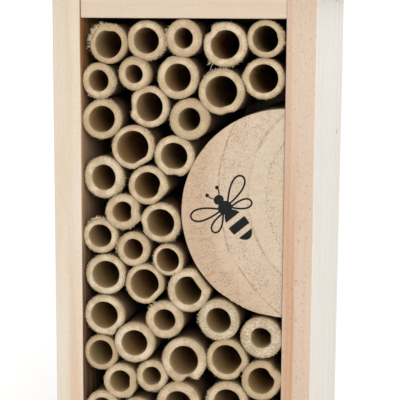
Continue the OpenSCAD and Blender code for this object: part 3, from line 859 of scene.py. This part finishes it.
# The left board is warmer down its front edge. Its inner face is painted tan, browner
# at the top and the foot: painted shade, as in the narrow gaps beside the canes. The
# right board's outer face is painted palest, near white and whiter up high: a painted
# reflection of the white studio, seen at a grazing angle.
finish_left = sawn_wood(
    "pine_left_side", linear(234, 223, 206), pine_late, (-70, 30, 0), spacing=4.5,
    streaks=((-38.0, 3.4, 140, 20, linear(226, 196, 166), 0.75),
             # The three streaks at X -35 darken the inner face and its edge: painted shade.
             (-35.0, 0.4, 400, 190, linear(182, 144, 108), 0.95),
             (-35.0, 0.4, 128, 160, linear(150, 90, 36), 0.97),
             (-35.0, 0.4, 116, 60, linear(92, 51, 21), 0.95)))
finish_right = sawn_wood(
    "pine_rosy", linear(222, 200, 180), linear(208, 166, 130), (74, 26, 0), spacing=5.0, ring_show=0.25,
    # The zone from 44.7 to 44.95 whitens the outer face: painted reflection of the white studio.
    pit_show=0.7, zones=((44.7, 44.95, linear(227, 225, 218), 0.97),),
    streaks=((36.2, 1.5, 260, 120, linear(204, 156, 122), 0.6),
             (37.4, 1.9, 150, 60, linear(202, 150, 102), 0.55),
             (38.3, 0.8, 140, 50, linear(196, 138, 90), 0.6),
             # This streak whitens the outer face more toward the top: painted reflection.
             (45.0, 0.3, 110, 190, linear(236, 234, 229), 0.8)))
turn_x = (0, math.radians(90), 0)      # lays the grain along X
finish_shelf = sawn_wood("pine_shelf", linear(225, 207, 186), pine_late, (150, 20, 4), spacing=4.0,
                         turn=turn_x, ring_show=0.2)
finish_gable = sawn_wood("pine_gable", pine_pale, pine_late, (190, 40, 30), spacing=3.6, turn=turn_x)
finish_roof_left = sawn_wood("pine_roof_left", pine_pale, pine_late, (-130, 20, 0), spacing=3.8,
                             turn=(0, math.radians(-45), 0))
finish_roof_right = sawn_wood("pine_roof_right", pine_pale, pine_late, (130, -30, 0), spacing=4.2,
                              turn=(0, math.radians(45), 0))
finish_cane = cane_finish()
finish_fibre = fibre_finish()
finish_steel = steel_finish("zinc_plate", linear(214, 216, 218), linear(192, 194, 197))
finish_nail = steel_finish("nail_wire", linear(112, 108, 104), linear(84, 80, 76))

board("side_board_left", "left_side", (left_low.x, left_low.y, 0), (0, 0, eave_z), (0, depth, 0),
      (side_t, 0, 0), finish_left, slant=1.0, seed=2)
board("side_board_right", "right_side", (right_high.x, right_low.y, 0), (0, 0, eave_z), (0, depth, 0),
      (-side_t, 0, 0), finish_right, slant=1.0, seed=3)
for name, node, low, high, seed in (("ceiling_board", "top_board", top_low, top_high, 4),
                                    ("floor_board", "base_board", base_low, base_high, 5)):
    board(name, node, tuple(low), (high.x - low.x, 0, 0), (0, high.y - low.y, 0), (0, 0, high.z - low.z),
          finish_shelf, seed=seed)

slope = np.array([1, 0, -1]) / math.sqrt(2)
roof_t = (roof_high.z - ridge_z) * math.sqrt(2)
roof_l = (ridge_z - roof_low.z) * math.sqrt(2)
roof_w = roof_high.y - roof_low.y
board("roof_board_right", "roof_right", (0, roof_low.y, ridge_z), roof_l * slope, (0, roof_w, 0),
      roof_t * np.array([1, 0, 1]) / math.sqrt(2), finish_roof_right, seed=6)
mirrored = slope * [-1, 1, 1]
board("roof_board_left", "roof_left", np.array([0, roof_low.y, ridge_z]) - roof_t * mirrored,
      (roof_l + roof_t) * mirrored, (0, roof_w, 0), roof_t * np.array([-1, 0, 1]) / math.sqrt(2),
      finish_roof_left, seed=7)


def house(low, high):
    """The outline between the side boards, up to the two roof slopes."""
    shoulder = high.z - high.x
    return [(low.x, low.z), (low.x, shoulder), (0, high.z), (high.x, shoulder), (high.x, low.z)]


panel("gable_front", "gable_board", house(gable_low, gable_high), gable_low.y, gable_high.y,
      finish_gable)
panel("back_sheet", "back_panel", house(back_low, back_high), back_low.y, back_high.y,
      ply_finish())

half_log_piece(log_finish())
bee_stamp(ink_finish())

bores = {mount["name"]: mount["dims"]["r_mm"] * MM for mount in frame["record"]["mounts"]
         if mount["kind"] == "bore"}
canes = range(1, len(bores) + 1)
for number in canes:
    cane(number, bores[f"nest_bore_{number:02d}"], finish_cane)
fibres("frayed_fibres", FRAYED, 0.095, finish_fibre, seed=900)
fibres("long_hairs", LONG_HAIRS, 0.12, finish_fibre, seed=901)
fibres("fine_nap", [(number, *NAP) for number in canes], 0.045, finish_fibre, seed=902)

# Nails stand where the boards cross, this far in from the edges. One holds the
# log, above its middle and close to its back.
nail_in, nail_low, panel_nail_in = 15 * MM, 3 * MM, 20 * MM
log_nail_in, log_nail_up, roof_nail = 5 * MM, 22.5 * MM, 20 * MM
base_mid = (base_low.z + base_high.z) / 2
top_mid = (top_low.z + top_high.z) / 2
log_low, log_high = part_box("half_log")
log_mid = (log_low.z + log_high.z) / 2
case_heads = [((side * right_high.x, y, z), (side, 0, 0)) for side in (-1, 1)
              for z in (base_mid, top_high.z - nail_low)
              for y in (left_low.y + nail_in, back_low.y - nail_in)]
case_heads.append(((right_high.x, back_low.y - log_nail_in, log_mid + log_nail_up), (1, 0, 0)))
case_heads += [((side * (left_high.x + panel_nail_in), back_high.y, z), (0, 1, 0)) for side in (-1, 1)
               for z in (base_mid, top_mid)]
nails("case_nail_set", "case_nails", case_heads, finish_nail)
half_root = 1 / math.sqrt(2)
roof_heads = [((side * (down + roof_t) * half_root, y, ridge_z + (roof_t - down) * half_root), (side, 0, 1))
              for side in (-1, 1) for y in ((gable_low.y + gable_high.y) / 2, (back_low.y + back_high.y) / 2)
              for down in (roof_nail, 2 * roof_nail)]
roof_heads += [((-roof_t / 2 * half_root, y, ridge_z + 1.5 * roof_t * half_root), (-1, 0, 1))
               for y in (left_low.y, 0, back_low.y)]
nails("roof_nail_set", "roof_nails", roof_heads, finish_nail)

for node in ("hanger_strap", "hanger_ring", "hanger_screw"):
    for slot in frame["nodes"][node].material_slots:
        slot.material = finish_steel

# ---------------- studio

def floor():
    """A plain pale floor: one large flat square."""
    reach = 6.0
    mesh = bpy.data.meshes.new("studio_floor")
    mesh.from_pydata([(-reach, -reach, 0), (reach, -reach, 0), (reach, reach, 0), (-reach, reach, 0)], [],
                     [(0, 1, 2, 3)])
    mesh.materials.append(Finish("studio_floor", 0.8).done((0.93, 0.93, 0.93, 1)))
    made = bpy.data.objects.new("studio_floor", mesh)
    bpy.context.scene.collection.objects.link(made)
    made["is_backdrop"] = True


def soft_light(name, place, target, size, power):
    """A round soft lamp at place, turned to face the target."""
    lamp = bpy.data.lights.new(name, "AREA")
    lamp.shape = "DISK"
    lamp.size = size
    lamp.energy = power
    made = bpy.data.objects.new(name, lamp)
    made.location = place
    aim = np.array(target) - np.array(place)
    made.rotation_mode = "QUATERNION"
    made.rotation_quaternion = Vector(aim).to_track_quat("-Z", "Y")
    bpy.context.scene.collection.objects.link(made)


def camera():
    """Stands a little right of the front and above it, looking slightly down."""
    right, down, tilt = np.radians([12.71, 8.55, 0.32])
    forward = np.array([-math.sin(right) * math.cos(down), math.cos(right) * math.cos(down), -math.sin(down)])
    across = np.array([math.cos(right), math.sin(right), 0])
    up = np.cross(across, forward)
    level = math.cos(tilt) * across + math.sin(tilt) * up
    upright = math.cos(tilt) * up - math.sin(tilt) * across
    stand = (0.0944, -0.4293, 0.1656)
    lens = bpy.data.cameras.new("studio_camera")
    lens.lens = 108
    lens.sensor_width = 36
    made = bpy.data.objects.new("studio_camera", lens)
    made.matrix_world = Matrix((*zip(level, upright, -forward, stand), (0, 0, 0, 1)))
    bpy.context.scene.collection.objects.link(made)
    bpy.context.scene.camera = made


floor()
heart = (0, 0, 0.12)
soft_light("key_light", (0.75, -1.25, 0.55), heart, size=0.7, power=9)
soft_light("side_light", (1.3, 0.2, 0.4), heart, size=0.9, power=3)
world = bpy.data.worlds.new("studio_light")
world.use_nodes = True
sky = world.node_tree.nodes["Background"].inputs
sky["Color"].default_value = (1, 1, 1, 1)
sky["Strength"].default_value = 1.08
bpy.context.scene.world = world
bpy.context.scene.view_settings.view_transform = "Standard"
camera()

low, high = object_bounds()
